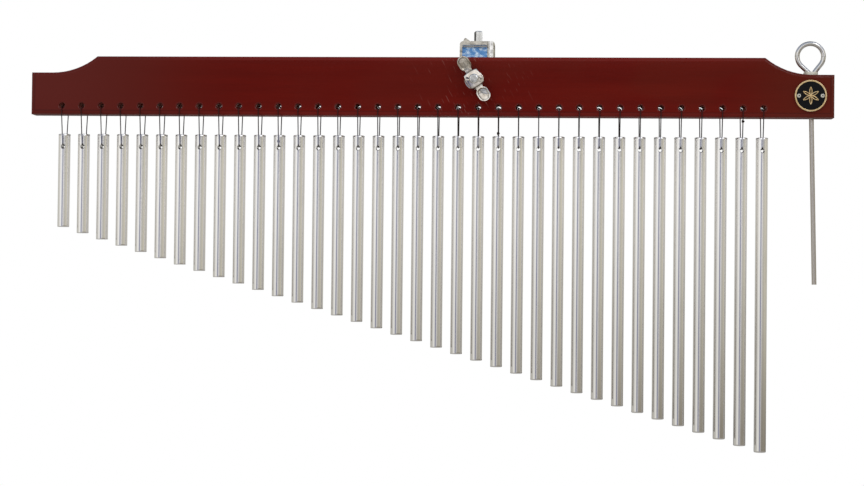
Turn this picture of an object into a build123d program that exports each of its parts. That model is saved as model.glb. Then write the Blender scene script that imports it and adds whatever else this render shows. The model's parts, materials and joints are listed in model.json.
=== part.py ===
"""Bar chimes: a wooden mantle with a row of metal bars on cords, a stand clamp, a beater and a badge.

Millimetres. X runs along the mantle from the shortest bar to the longest, the front looks along -Y and
Z is up. The origin is the centre of the rod socket's mouth at the back of the stand clamp.
"""

import os
from math import cos, radians, sin, tan

from build123d import *

# Mantle
MANTLE_HEIGHT = 50.0
MANTLE_THICK = 19.0
MANTLE_EDGE_ROUND = 3.0
END_HEIGHT = 36.0
END_FLAT = 18.0
SHOULDER_RUN = 39.0
LEFT_END_TO_FIRST_HOLE = 27.2
LAST_HOLE_TO_RIGHT_END = 58.5
HANGING_HOLE = 4.6
HANGING_HOLE_RISE = 7.5

# Bars
BAR_COUNT = 36
BAR_PITCH = 17.0
BAR_DIAMETER = 10.0
BAR_FIRST_LENGTH = 80.0
BAR_LENGTH_STEP = 5.23
BAR_DROP = 16.5
BAR_HOLE = 3.4
BAR_HOLE_DEPTH = 10.8

# Cords
CORD = 0.9
CORD_SEAT_GAP = 0.1
CORD_SIDES = 6
CORD_FACE_END = 2.0

# Stand clamp, seen from the front: width along X, depth along Y behind the mantle
SOCKET_BORE = 9.7
SOCKET_DEPTH = 23.0
SOCKET_BARREL = 17.0
SOCKET_FLOOR = 2.0
SOCKET_RISE = 3.0
CLAMP_WIDTH = 30.0
CLAMP_TOP_RISE = 16.0
CLAMP_SHELL_DEPTH = 12.0
CLAMP_FOOT = 14.0
CLAMP_FOOT_ROUND = 11.0
CLAMP_TOP_ROUND = 3.0
CLAMP_LEFT_WALL = 2.2
CLAMP_RIGHT_COLUMN = 6.4
CLAMP_TOP_WALL = 3.2
CLAMP_FOOT_WALL = 3.0
CLAMP_REAR_WALL = 3.0
POCKET_ROUND = 1.2
CLAMP_EDGE_ROUND = 1.0
EAR_WIDTH = 9.0
EAR_HEIGHT = 4.8
EAR_PEAK = 2.3
EAR_ROUND = 1.1
EAR_INSET = 1.6
BOLT_BOSS = 16.0
KEY_BOSS = 12.0

# Clamp bolt, washer and wing nut
BOLT_LEFT_OF_SOCKET = 1.5
BOLT_DROP = 19.8
BOLT_DIAMETER = 8.0
BOLT_CLEARANCE = 0.2
BOLT_END_SHOW = 1.0
BOLT_END_CHAMFER = 0.8
BOLT_HEAD_FLATS = 13.0
BOLT_HEAD_HEIGHT = 5.3
BOLT_HEAD_SIDES = 6
WASHER_DIAMETER = 16.0
WASHER_THICK = 1.2
NUT_CLEARANCE = 0.08
NUT_HUB = 12.3
NUT_HUB_BULGE = 0.9
NUT_HUB_HEIGHT = 10.0
NUT_HUB_ROUND = 0.8
WING_SPAN = 45.2
WING_LOBE = 13.0
WING_WIDTH = 10.2
WING_NECK = 6.0
WING_THICK = 4.6
WING_RISE = 2.4
WING_LEAN = 10.0
WING_DISH = 1.5
WING_DISH_FLARE = 25.0
WING_RIM = 1.6
WING_TURN = 57.0

# Key bolt
KEY_BOLT_DIAMETER = 6.0
KEY_BOLT_CLEARANCE = 0.08
KEY_HEAD_FLATS = 5.7
KEY_HEAD_HEIGHT = 11.8
KEY_HEAD_CHAMFER = 0.8
KEY_HEAD_TURN = 20.0
KEY_TIP_GAP = 0.3

# Beater and its ferrule
BEATER_FROM_END = 18.1
BEATER_LEAN = 1.3
BEATER_WIRE = 4.0
BEATER_RING = 25.8
BEATER_LEG_ANGLE = 46.0
BEATER_BELOW_MANTLE = 139.0
BEATER_TIP_CHAMFER = 0.6
BEATER_SEAT_GAP = 0.3
BEATER_BORE_CLEARANCE = 0.15
FERRULE_FLANGE = 12.0
FERRULE_RISE = 2.9
FERRULE_SHANK = 8.0
FERRULE_SHANK_DEPTH = 9.0
FERRULE_CONE_DEPTH = 3.0
FERRULE_FIT = 0.05

# Badge
BADGE_FROM_END = 20.1
BADGE_DIAMETER = 26.4
BADGE_THICK = 2.0
BADGE_RIM = 1.3
BADGE_FIELD_DEPTH = 0.8
BADGE_FIELD_SINK = 0.3
FIELD_FIT = 0.05
PIN_SPACING = 19.4
PIN_HEAD = 3.4
PIN_HEAD_HEIGHT = 1.1
PIN_DIMPLE = 1.2
PIN_DIMPLE_DEPTH = 0.6
PIN_SHANK = 1.6
PIN_DEPTH = 9.0
PIN_FIT = 0.05

# Places that follow from the sizes
POCKET_DEPTH = CLAMP_SHELL_DEPTH - CLAMP_REAR_WALL
MANTLE_BACK = -(SOCKET_DEPTH + SOCKET_FLOOR + POCKET_DEPTH)
MANTLE_FRONT = MANTLE_BACK - MANTLE_THICK
MANTLE_MID = (MANTLE_BACK + MANTLE_FRONT) / 2
MANTLE_TOP = -SOCKET_RISE
MANTLE_BOTTOM = MANTLE_TOP - MANTLE_HEIGHT
END_TOP = MANTLE_BOTTOM + END_HEIGHT
BOLT_X = -BOLT_LEFT_OF_SOCKET
BOLT_Z = MANTLE_TOP - BOLT_DROP
HOLE_Z = MANTLE_BOTTOM + HANGING_HOLE_RISE
BAR_TOP = MANTLE_BOTTOM - BAR_DROP
BAR_HOLE_Z = BAR_TOP - BAR_HOLE_DEPTH


def bar_length(i):
    return BAR_FIRST_LENGTH + i * BAR_LENGTH_STEP


def balance_offset():
    """How far right of the first bar the bars alone would balance: the clamp bolt stands near there."""
    total = sum(bar_length(i) for i in range(BAR_COUNT))
    return sum(bar_length(i) * i * BAR_PITCH for i in range(BAR_COUNT)) / total


FIRST_BAR_X = BOLT_X - balance_offset()
LAST_BAR_X = FIRST_BAR_X + (BAR_COUNT - 1) * BAR_PITCH
MANTLE_LEFT = FIRST_BAR_X - LEFT_END_TO_FIRST_HOLE
MANTLE_RIGHT = LAST_BAR_X + LAST_HOLE_TO_RIGHT_END
BEATER_X = MANTLE_RIGHT - BEATER_FROM_END
BADGE_X = MANTLE_RIGHT - BADGE_FROM_END
BADGE_Z = MANTLE_BOTTOM + END_HEIGHT / 2


def front_plane(y):
    """A drawing plane across the mantle's thickness at y: x right, z up, extruding towards the front."""
    return Plane.XZ.offset(-y)


def cross_rod(x, z, front, back, diameter):
    """A round rod along Y from front to back."""
    return extrude(front_plane(back) * Pos(x, z) * Circle(diameter / 2), amount=back - front)


def upright_rod(x, y, bottom, top, diameter):
    """A round rod along Z from bottom to top."""
    return extrude(Plane.XY.offset(bottom) * Pos(x, y) * Circle(diameter / 2), amount=top - bottom)


def bar_x(i):
    return FIRST_BAR_X + i * BAR_PITCH


# Beater seat: wire, bore and ferrule lean together at the badge's height, the ferrule's flange is let
# in as deep as the lean lifts its edge, and the ring's two legs lie in the ferrule's cone
BEATER_AXIS = Pos(BEATER_X, MANTLE_MID, BADGE_Z) * Rot(0, -BEATER_LEAN, 0) * Pos(0, 0, -BADGE_Z)
BEATER_BORE = BEATER_WIRE + 2 * BEATER_BORE_CLEARANCE
FERRULE_SEAT = END_TOP - FERRULE_FLANGE / 2 * tan(radians(BEATER_LEAN))
FERRULE_TOP = FERRULE_SEAT + FERRULE_RISE
CONE_FOOT = FERRULE_TOP - FERRULE_CONE_DEPTH
LEG_SIN = sin(radians(BEATER_LEG_ANGLE))
LEG_COS = cos(radians(BEATER_LEG_ANGLE))
LEG_JOIN = CONE_FOOT + (BEATER_WIRE / 2 + BEATER_SEAT_GAP - BEATER_BORE / 2 * LEG_COS) / LEG_SIN
RING_RADIUS = (BEATER_RING - BEATER_WIRE) / 2
RING_CENTRE = LEG_JOIN + RING_RADIUS / LEG_SIN

# Badge and clamp levels
BADGE_FRONT = MANTLE_FRONT - BADGE_THICK
FIELD_FRONT = BADGE_FRONT + BADGE_FIELD_SINK
FIELD_BACK = BADGE_FRONT + BADGE_FIELD_DEPTH
CLAMP_TOP = MANTLE_TOP + CLAMP_TOP_RISE
CLAMP_BACK = MANTLE_BACK + CLAMP_SHELL_DEPTH
KEY_BOLT_Y = -SOCKET_DEPTH / 2
NUT_SEAT = MANTLE_FRONT - WASHER_THICK
BOLT_END = NUT_SEAT - NUT_HUB_HEIGHT - BOLT_END_SHOW


def pin_places():
    return [BADGE_X - PIN_SPACING / 2, BADGE_X + PIN_SPACING / 2]


def pin_holes(front, back):
    return [cross_rod(x, BADGE_Z, front, back, PIN_SHANK + 2 * PIN_FIT) for x in pin_places()]


def mantle():
    """The wooden beam: stepped ends with hollow shoulders, rounded edges and all its bores."""
    left_foot = (MANTLE_LEFT + END_FLAT, END_TOP)
    left_corner = (MANTLE_LEFT + END_FLAT + SHOULDER_RUN, MANTLE_TOP)
    right_foot = (MANTLE_RIGHT - END_FLAT, END_TOP)
    right_corner = (MANTLE_RIGHT - END_FLAT - SHOULDER_RUN, MANTLE_TOP)
    outline = Polyline(
        left_foot,
        (MANTLE_LEFT, END_TOP),
        (MANTLE_LEFT, MANTLE_BOTTOM),
        (MANTLE_RIGHT, MANTLE_BOTTOM),
        (MANTLE_RIGHT, END_TOP),
        right_foot,
    )
    outline += TangentArc(right_foot, right_corner, tangent=(-1, 0))
    outline += Line(right_corner, left_corner)
    outline += TangentArc(left_foot, left_corner, tangent=(1, 0))
    beam = extrude(front_plane(MANTLE_BACK) * make_face(outline), amount=MANTLE_THICK)
    across = beam.faces().sort_by(Axis.Y)
    beam = fillet(across[0].edges() + across[-1].edges(), MANTLE_EDGE_ROUND)
    bores = [cross_rod(bar_x(i), HOLE_Z, MANTLE_FRONT, MANTLE_BACK, HANGING_HOLE) for i in range(BAR_COUNT)]
    bores.append(cross_rod(BOLT_X, BOLT_Z, MANTLE_FRONT, MANTLE_BACK, BOLT_DIAMETER + 2 * BOLT_CLEARANCE))
    bores.append(BEATER_AXIS * upright_rod(0, 0, MANTLE_BOTTOM - BEATER_BORE, FERRULE_SEAT, BEATER_BORE))
    shank_hole = FERRULE_SHANK + 2 * FERRULE_FIT
    shank_foot = FERRULE_SEAT - FERRULE_SHANK_DEPTH
    bores.append(BEATER_AXIS * upright_rod(0, 0, shank_foot, FERRULE_SEAT, shank_hole))
    spot_face = FERRULE_FLANGE + 2 * FERRULE_FIT
    bores.append(BEATER_AXIS * upright_rod(0, 0, FERRULE_SEAT, MANTLE_TOP, spot_face))
    return beam - bores - pin_holes(MANTLE_FRONT, MANTLE_FRONT + PIN_DEPTH)


def chime_bar(i):
    """One bar, hanging straight, with the cross hole that its cord goes through."""
    rod = upright_rod(bar_x(i), MANTLE_MID, BAR_TOP - bar_length(i), BAR_TOP, BAR_DIAMETER)
    half = BAR_DIAMETER / 2
    return rod - cross_rod(bar_x(i), BAR_HOLE_Z, MANTLE_MID - half, MANTLE_MID + half, BAR_HOLE)


def cord_corners():
    """One loop's corners as (y, z): over the mantle's front face, through the bar and up the back face."""
    face = MANTLE_THICK / 2 + CORD / 2 + CORD_SEAT_GAP
    hole = HOLE_Z - (HANGING_HOLE - CORD) / 2 + CORD_SEAT_GAP
    edge = MANTLE_BOTTOM + CORD_FACE_END
    bar_face = (BAR_DIAMETER + CORD) / 2 + CORD_SEAT_GAP
    bar_hole = BAR_HOLE_Z + (BAR_HOLE - CORD) / 2 - CORD_SEAT_GAP
    side = [(face, hole), (face, edge), (bar_face, bar_hole)]
    front = [(MANTLE_MID - y, z) for y, z in side]
    return front + [(MANTLE_MID + y, z) for y, z in reversed(side)]


def cord_loop(x):
    """One closed loop of cord, pulled straight between its corners by the weight of its bar."""
    corners = [Vector(x, y, z) for y, z in cord_corners()]
    middle = (corners[0] + corners[-1]) / 2
    route = Polyline(middle, *corners, middle)
    section = Plane(middle, z_dir=corners[0] - middle) * RegularPolygon(CORD / 2, CORD_SIDES)
    return sweep(section, path=route, transition=Transition.RIGHT)


def hanging_cords():
    return Compound(children=[cord_loop(bar_x(i)) for i in range(BAR_COUNT)])


def clamp_casting():
    """The plated casting behind the mantle: an open shell with a bolt boss, a rod socket and a key boss."""
    foot = BOLT_Z - CLAMP_FOOT
    outline = Pos(0, (CLAMP_TOP + foot) / 2) * Rectangle(CLAMP_WIDTH, CLAMP_TOP - foot)
    outline = fillet(outline.vertices().group_by(Axis.Y)[0], CLAMP_FOOT_ROUND)
    outline = fillet(outline.vertices().group_by(Axis.Y)[-1], CLAMP_TOP_ROUND)
    shell = extrude(front_plane(CLAMP_BACK) * outline, amount=CLAMP_SHELL_DEPTH)
    shell = fillet(shell.faces().sort_by(Axis.Y)[-1].edges(), CLAMP_EDGE_ROUND)

    pocket_left = CLAMP_LEFT_WALL - CLAMP_WIDTH / 2
    pocket_right = CLAMP_WIDTH / 2 - CLAMP_RIGHT_COLUMN
    pocket_foot = foot + CLAMP_FOOT_WALL
    pocket_top = CLAMP_TOP - CLAMP_TOP_WALL
    centre = Pos((pocket_left + pocket_right) / 2, (pocket_foot + pocket_top) / 2)
    pocket = centre * Rectangle(pocket_right - pocket_left, pocket_top - pocket_foot)
    pocket = fillet(pocket.vertices().group_by(Axis.Y)[0], CLAMP_FOOT_ROUND - CLAMP_FOOT_WALL)
    pocket = fillet(pocket.vertices().group_by(Axis.Y)[-1], POCKET_ROUND)
    shell -= extrude(front_plane(MANTLE_BACK + POCKET_DEPTH) * pocket, amount=POCKET_DEPTH)

    ear_left = EAR_INSET - CLAMP_WIDTH / 2
    ear = Polygon(
        (ear_left, CLAMP_TOP - CLAMP_TOP_WALL),
        (ear_left, CLAMP_TOP),
        (ear_left + EAR_PEAK, CLAMP_TOP + EAR_HEIGHT),
        (ear_left + EAR_WIDTH, CLAMP_TOP),
        (ear_left + EAR_WIDTH, CLAMP_TOP - CLAMP_TOP_WALL),
        align=None,
    )
    ear = fillet(ear.vertices().sort_by(Axis.Y)[-1], EAR_ROUND)
    ear_depth = CLAMP_SHELL_DEPTH - 2 * CLAMP_EDGE_ROUND
    shell += extrude(front_plane(CLAMP_BACK - CLAMP_EDGE_ROUND) * ear, amount=ear_depth)

    shell += cross_rod(BOLT_X, BOLT_Z, MANTLE_BACK, CLAMP_BACK - CLAMP_REAR_WALL, BOLT_BOSS)
    shell += cross_rod(0, 0, CLAMP_BACK - CLAMP_REAR_WALL, 0, SOCKET_BARREL)
    boss_length = KEY_BOLT_Y - CLAMP_BACK
    key_boss = Pos(0, KEY_BOLT_Y - boss_length / 2) * Rectangle(KEY_BOSS, boss_length)
    key_boss += Pos(0, KEY_BOLT_Y) * Circle(KEY_BOSS / 2)
    shell += extrude(key_boss, amount=CLAMP_TOP)

    shell -= cross_rod(0, 0, -SOCKET_DEPTH, 0, SOCKET_BORE)
    shell -= cross_rod(BOLT_X, BOLT_Z, MANTLE_BACK, CLAMP_BACK, BOLT_DIAMETER + 2 * BOLT_CLEARANCE)
    return shell - upright_rod(0, KEY_BOLT_Y, 0, CLAMP_TOP, KEY_BOLT_DIAMETER + 2 * KEY_BOLT_CLEARANCE)


def clamp_bolt():
    """The hexagon bolt through casting and mantle, its end just proud of the wing nut."""
    shank = cross_rod(BOLT_X, BOLT_Z, BOLT_END, CLAMP_BACK, BOLT_DIAMETER)
    shank = chamfer(shank.faces().sort_by(Axis.Y)[0].edges(), BOLT_END_CHAMFER)
    hexagon = RegularPolygon(BOLT_HEAD_FLATS / 2, BOLT_HEAD_SIDES, major_radius=False)
    head_plane = front_plane(CLAMP_BACK + BOLT_HEAD_HEIGHT)
    return shank + extrude(head_plane * Pos(BOLT_X, BOLT_Z) * hexagon, amount=BOLT_HEAD_HEIGHT)


def clamp_washer():
    disc = cross_rod(BOLT_X, BOLT_Z, NUT_SEAT, MANTLE_FRONT, WASHER_DIAMETER)
    return disc - cross_rod(BOLT_X, BOLT_Z, NUT_SEAT, MANTLE_FRONT, BOLT_DIAMETER + 2 * BOLT_CLEARANCE)


def wing_nut():
    """The cast wing nut: a barrelled square hub and two spoon-like wings that lean forward."""
    half = NUT_HUB / 2
    corners = [(half, -half), (half, half), (-half, half), (-half, -half)]
    sides = [SagittaArc(a, b, -NUT_HUB_BULGE) for a, b in zip(corners, corners[1:] + corners[:1])]
    hub = extrude(make_face(sides), amount=NUT_HUB_HEIGHT)
    hub = fillet(hub.faces().sort_by(Axis.Z)[-1].edges(), NUT_HUB_ROUND)

    lobe = WING_SPAN / 2 - WING_LOBE / 2
    spoon = Pos(lobe / 2, 0) * Rectangle(lobe, WING_NECK) + Pos(lobe, 0) * SlotOverall(WING_LOBE, WING_WIDTH)
    wing = extrude(spoon, amount=WING_THICK)
    dish = SlotOverall(WING_LOBE - 2 * WING_RIM, WING_WIDTH - 2 * WING_RIM)
    dish_floor = Pos(lobe, 0, WING_THICK - WING_DISH)
    wing -= extrude(dish_floor * dish, amount=WING_DISH, taper=-WING_DISH_FLARE)
    wing = Pos(0, 0, WING_RISE) * Rot(0, -WING_LEAN, 0) * wing
    nut = hub + wing + mirror(wing, Plane.YZ)
    nut -= upright_rod(0, 0, 0, NUT_HUB_HEIGHT, BOLT_DIAMETER + 2 * NUT_CLEARANCE)
    return front_plane(NUT_SEAT) * Pos(BOLT_X, BOLT_Z) * Rot(0, 0, -WING_TURN) * nut


def key_bolt():
    """The square-headed bolt that locks a rod in the socket."""
    shank = upright_rod(0, KEY_BOLT_Y, SOCKET_BORE / 2 + KEY_TIP_GAP, CLAMP_TOP, KEY_BOLT_DIAMETER)
    head = extrude(Rectangle(KEY_HEAD_FLATS, KEY_HEAD_FLATS), amount=KEY_HEAD_HEIGHT)
    head = chamfer(head.faces().sort_by(Axis.Z)[-1].edges(), KEY_HEAD_CHAMFER)
    return shank + Pos(0, KEY_BOLT_Y, CLAMP_TOP) * Rot(0, 0, KEY_HEAD_TURN) * head


def beater():
    """The beater: one wire, a straight rod that ends above in a ring closed by two slanting legs."""
    tip = MANTLE_BOTTOM - BEATER_BELOW_MANTLE
    rod = upright_rod(0, 0, tip, LEG_JOIN, BEATER_WIRE)
    rod = chamfer(rod.faces().sort_by(Axis.Z)[0].edges(), BEATER_TIP_CHAMFER)
    touch_x = RING_RADIUS * LEG_COS
    touch_z = RING_CENTRE - RING_RADIUS * LEG_SIN
    ends = [Vector(-touch_x, 0, touch_z), Vector(touch_x, 0, touch_z)]
    arc = ThreePointArc(ends[0], (0, 0, RING_CENTRE + RING_RADIUS), ends[1])
    ring = sweep(Plane(arc @ 0, z_dir=arc % 0) * Circle(BEATER_WIRE / 2), path=arc)
    join = Vector(0, 0, LEG_JOIN)
    wire = rod + ring + Pos(0, 0, LEG_JOIN) * Sphere(BEATER_WIRE / 2)
    for end in ends:
        leg = end - join
        wire += extrude(Plane(join, z_dir=leg) * Circle(BEATER_WIRE / 2), amount=leg.length)
    return BEATER_AXIS * wire


def beater_ferrule():
    """The turned seat in the mantle's top: flange, shank and a cone for the ring's legs."""
    half_bore = BEATER_BORE / 2
    cone = half_bore + FERRULE_CONE_DEPTH * LEG_SIN / LEG_COS
    profile = Polyline(
        (half_bore, CONE_FOOT),
        (cone, FERRULE_TOP),
        (FERRULE_FLANGE / 2, FERRULE_TOP),
        (FERRULE_FLANGE / 2, FERRULE_SEAT),
        (FERRULE_SHANK / 2, FERRULE_SEAT),
        (FERRULE_SHANK / 2, FERRULE_SEAT - FERRULE_SHANK_DEPTH),
        (half_bore, FERRULE_SEAT - FERRULE_SHANK_DEPTH),
        close=True,
    )
    return BEATER_AXIS * revolve(Plane.XZ * make_face(profile), Axis.Z)


def badge_plate():
    """The brass disc with its raised rim."""
    disc = cross_rod(BADGE_X, BADGE_Z, BADGE_FRONT, MANTLE_FRONT, BADGE_DIAMETER)
    disc -= cross_rod(BADGE_X, BADGE_Z, BADGE_FRONT, FIELD_BACK, BADGE_DIAMETER - 2 * BADGE_RIM)
    return disc - pin_holes(FIELD_BACK, MANTLE_FRONT)


def badge_field():
    """The enamel disc in the badge, a little below its rim."""
    across = BADGE_DIAMETER - 2 * BADGE_RIM - 2 * FIELD_FIT
    return cross_rod(BADGE_X, BADGE_Z, FIELD_FRONT, FIELD_BACK, across) - pin_holes(FIELD_FRONT, FIELD_BACK)


def badge_pin(x):
    """A round-headed pin: a slice of a sphere, dimpled in the middle, on a straight shank."""
    dome = ((PIN_HEAD / 2) ** 2 + PIN_HEAD_HEIGHT**2) / (2 * PIN_HEAD_HEIGHT)
    ball = Pos(x, FIELD_FRONT - PIN_HEAD_HEIGHT + dome, BADGE_Z) * Sphere(dome)
    head = split(ball, bisect_by=front_plane(FIELD_FRONT), keep=Keep.TOP)
    head_front = FIELD_FRONT - PIN_HEAD_HEIGHT
    head -= cross_rod(x, BADGE_Z, head_front, head_front + PIN_DIMPLE_DEPTH, PIN_DIMPLE)
    return head + cross_rod(x, BADGE_Z, FIELD_FRONT, MANTLE_FRONT + PIN_DEPTH, PIN_SHANK)


def badge_pins():
    return Compound(children=[badge_pin(x) for x in pin_places()])


PIECES = {
    "mantle": mantle,
    "hanging_cords": hanging_cords,
    "clamp_body": clamp_casting,
    "clamp_bolt": clamp_bolt,
    "clamp_washer": clamp_washer,
    "wing_nut": wing_nut,
    "key_bolt": key_bolt,
    "beater": beater,
    "beater_ferrule": beater_ferrule,
    "badge_plate": badge_plate,
    "badge_field": badge_field,
    "badge_pins": badge_pins,
}

os.makedirs("parts", exist_ok=True)
for name, make in PIECES.items():
    export_step(make(), f"parts/{name}.step")
for i in range(BAR_COUNT):
    export_step(chime_bar(i), f"parts/bar_{i + 1:02d}.step")
longest = bar_length(BAR_COUNT - 1)
print(f"bolt {BOLT_X - FIRST_BAR_X:.1f} mm right of the first bar; longest bar {longest:.1f} mm")
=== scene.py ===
# %% [markdown]
# Bar chimes: thirty-six metal bars hang on cord loops under a lacquered wooden mantle. A plated clamp
# behind the mantle takes the rod of a stand, a wing nut on the front tightens it, and a wire beater is
# parked in the right end above a round badge. The solids come in at their true size and place, and this
# lesson dresses them: it rounds what a maker would round, strings the cords, and mixes each finish.

# %% Load the solids
import json
from math import cos, pi, radians, sin

import bmesh
import bpy
from mathutils import Matrix, Vector


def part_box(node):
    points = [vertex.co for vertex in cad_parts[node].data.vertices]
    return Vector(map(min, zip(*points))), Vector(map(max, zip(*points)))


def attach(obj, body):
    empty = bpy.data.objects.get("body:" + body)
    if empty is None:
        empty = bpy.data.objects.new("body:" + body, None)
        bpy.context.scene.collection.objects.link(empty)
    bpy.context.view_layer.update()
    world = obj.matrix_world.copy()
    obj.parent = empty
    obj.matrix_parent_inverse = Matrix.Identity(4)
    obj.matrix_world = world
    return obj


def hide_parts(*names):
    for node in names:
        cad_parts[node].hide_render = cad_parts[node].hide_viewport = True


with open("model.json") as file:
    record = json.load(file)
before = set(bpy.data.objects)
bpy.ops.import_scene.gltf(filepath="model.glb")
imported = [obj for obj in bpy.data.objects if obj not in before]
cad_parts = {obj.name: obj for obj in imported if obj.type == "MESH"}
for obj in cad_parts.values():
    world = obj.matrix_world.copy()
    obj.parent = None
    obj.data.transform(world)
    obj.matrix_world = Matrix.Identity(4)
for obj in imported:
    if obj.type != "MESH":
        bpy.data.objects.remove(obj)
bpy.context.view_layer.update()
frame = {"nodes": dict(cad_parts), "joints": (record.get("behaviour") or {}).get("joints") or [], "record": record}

MM = 0.001
record = frame["record"]
body_of = {node: body for body, nodes in record["behaviour"]["bodies"].items() for node in nodes}
pivot_of = {joint["child"]: Vector(joint["pos_m"]) for joint in frame["joints"] if "pos_m" in joint}
bar_names = sorted(node for node in frame["nodes"] if node.startswith("bar_"))
print("solids:", len(frame["nodes"]), "bars:", len(bar_names))

# %% [markdown]
# The photograph was taken from in front, a little below the mantle, with a longish lens. Matching a view
# by eye means turning the camera until the bars fan out as they do in the picture; here the place, the
# three turns and the focal length were fitted to the ends of the mantle and of the bars.

# %% Camera
CAMERA_PLACE = Vector((51.85, -1407.2, -185.5)) * MM
CAMERA_YAW = radians(3.70)
CAMERA_PITCH = radians(1.057)
CAMERA_ROLL = radians(0.63)
CAMERA_LENS = 67.08

camera_data = bpy.data.cameras.new("camera")
camera_data.sensor_fit = "HORIZONTAL"
camera_data.lens = CAMERA_LENS
camera = bpy.data.objects.new("camera", camera_data)
camera.matrix_world = (
    Matrix.Translation(CAMERA_PLACE)
    @ Matrix.Rotation(CAMERA_YAW, 4, "Z")
    @ Matrix.Rotation(pi / 2 + CAMERA_PITCH, 4, "X")
    @ Matrix.Rotation(CAMERA_ROLL, 4, "Z")
)
bpy.context.scene.collection.objects.link(camera)
bpy.context.scene.camera = camera
print("camera", CAMERA_LENS, "mm lens at", tuple(round(v, 3) for v in CAMERA_PLACE))

# %% [markdown]
# A finish is a small network of shader nodes. Wiring nodes one call at a time hides the sum behind the
# plumbing, so a socket is wrapped in a class that understands Python's operators: `1 - mask * 0.5` adds
# the Math nodes by itself. Every other node comes from one method that takes the node's type, then its
# settings, then the numbers or links for its sockets.

# %% Shader sums in Python
class Socket:
    """One output of a shader node, which Python can calculate with."""

    def __init__(self, board, output):
        self.board = board
        self.output = output

    def maths(self, operation, other=0.0):
        return self.board.node("Math", {"operation": operation}, {0: self, 1: other})

    def reflected(self, operation, other):
        return self.board.node("Math", {"operation": operation}, {0: other, 1: self})

    def __add__(self, other):
        return self.maths("ADD", other)

    def __radd__(self, other):
        return self.reflected("ADD", other)

    def __sub__(self, other):
        return self.maths("SUBTRACT", other)

    def __rsub__(self, other):
        return self.reflected("SUBTRACT", other)

    def __mul__(self, other):
        return self.maths("MULTIPLY", other)

    def __rmul__(self, other):
        return self.reflected("MULTIPLY", other)

    def __abs__(self):
        return self.maths("ABSOLUTE")


class Board:
    """A node tree that is built by one method."""

    def __init__(self, tree):
        self.tree = tree
        tree.nodes.clear()

    def node(self, kind, settings=None, sockets=None, output=0):
        made = self.tree.nodes.new("ShaderNode" + kind)
        for name, value in (settings or {}).items():
            if name == "stops":
                self.fill_ramp(made.color_ramp, value)
            else:
                setattr(made, name, value)
        for key, value in (sockets or {}).items():
            if isinstance(value, Socket):
                self.tree.links.new(value.output, made.inputs[key])
            else:
                made.inputs[key].default_value = value
        return Socket(self, made.outputs[output]) if made.outputs else None

    def fill_ramp(self, ramp, stops):
        while len(ramp.elements) < len(stops):
            ramp.elements.new(1.0)
        for element, (place, colour) in zip(ramp.elements, stops):
            element.position = place
            element.color = colour

    def mix(self, mask, first, second):
        """Colour first where the mask is 0, second where it is 1."""
        return self.node("Mix", {"data_type": "RGBA"}, {0: mask, 6: first, 7: second}, output=2)

    def step(self, value, low, high):
        """0 below low, 1 above high, with a soft turn between."""
        soft = {"interpolation_type": "SMOOTHSTEP"}
        return self.node("MapRange", soft, {"Value": value, "From Min": low, "From Max": high})

    def noise(self, place, per_metre, detail=3.0, rough=0.5):
        """Noise with so many grains to the metre along each axis."""
        scaled = self.node("Mapping", sockets={"Vector": place, "Scale": per_metre})
        grain = {"Vector": scaled, "Scale": 1.0, "Detail": detail, "Roughness": rough}
        return self.node("TexNoise", sockets=grain)

    def axes(self, place):
        return [self.node("SeparateXYZ", sockets={0: place}, output=i) for i in range(3)]


class Finish(Board):
    """A material, laid out in the object's own metres."""

    def __init__(self, name):
        self.material = bpy.data.materials.new(name)
        self.material.use_nodes = True
        super().__init__(self.material.node_tree)
        self.place = self.node("TexCoord", output="Object")

    def surface(self, **sockets):
        named = {name.replace("_", " "): value for name, value in sockets.items()}
        shader = self.node("BsdfPrincipled", sockets=named)
        self.node("OutputMaterial", sockets={"Surface": shader})
        return self.material

    def bump(self, height, distance, strength=1.0):
        return self.node("Bump", sockets={"Height": height, "Distance": distance, "Strength": strength})


def rgb(red, green, painted_sky):
    return (red, green, painted_sky, 1.0)


print("shader helpers ready")

# %% [markdown]
# Each bar hangs on one loop of thin, smooth black cord. The loop goes through the mantle's hole, down the
# front, through the bar and up the back, and the bar's weight pulls it straight. A curve with a round
# bevel is the natural way to make it: a NURBS spline keeps close to its points where they stand near
# each other, at the rims of the holes, and runs straight between them.

# %% Route of one loop
CORD_DIAMETER = 0.88 * MM
mantle_low, mantle_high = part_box("mantle")
MID_Y = (mantle_low.y + mantle_high.y) / 2
MANTLE_BOTTOM = mantle_low.z
HOLE_Z = MANTLE_BOTTOM + 7.5 * MM
FRONT_HALF = [
    (0.0, -47.3),
    (8.4, -47.3),
    (9.95, -47.4),
    (10.05, -49.0),
    (10.05, -51.0),
    (8.9, -58.2),
    (6.7, -72.0),
    (6.0, -76.4),
    (5.55, -79.0),
    (3.2, -79.15),
    (0.0, -79.15),
]


def loop_points(x):
    """One loop's points: the front half downwards, then its mirror image up the back."""
    front = [Vector((x, MID_Y - y * MM, z * MM)) for y, z in FRONT_HALF]
    back = [Vector((x, MID_Y + y * MM, z * MM)) for y, z in reversed(FRONT_HALF[1:-1])]
    return front + back


bar_x = [pivot_of[name].x for name in bar_names]
print("loop of", len(loop_points(0.0)), "points,", len(bar_x), "loops")

# %% [markdown]
# A knot behind each hole holds the loop and lets only a spot of light through, and a few loops have a
# second knot lower down where it shows. A trefoil is the simplest true knot, and one formula draws it. The
# loops were pulled tight from the middle outwards, so the knots drift a little towards the ends.

# %% Knots
KNOT_SIZE = 0.32 * MM
KNOT_STEPS = 24
REAR_KNOT_SIZE = 0.62 * MM
REAR_KNOT_Y = MID_Y + 10.9 * MM
REAR_KNOTS = [(-0.7, -45.4), (-0.4, -45.6), (-1.0, -45.2), (-0.5, -45.7), (-0.8, -45.5)]
KNOT_DRIFT = 0.006
SLIPPED_KNOTS = {12: (-6.2, -75.0), 23: (-7.4, -67.5), 35: (-9.2, -56.5)}


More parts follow.
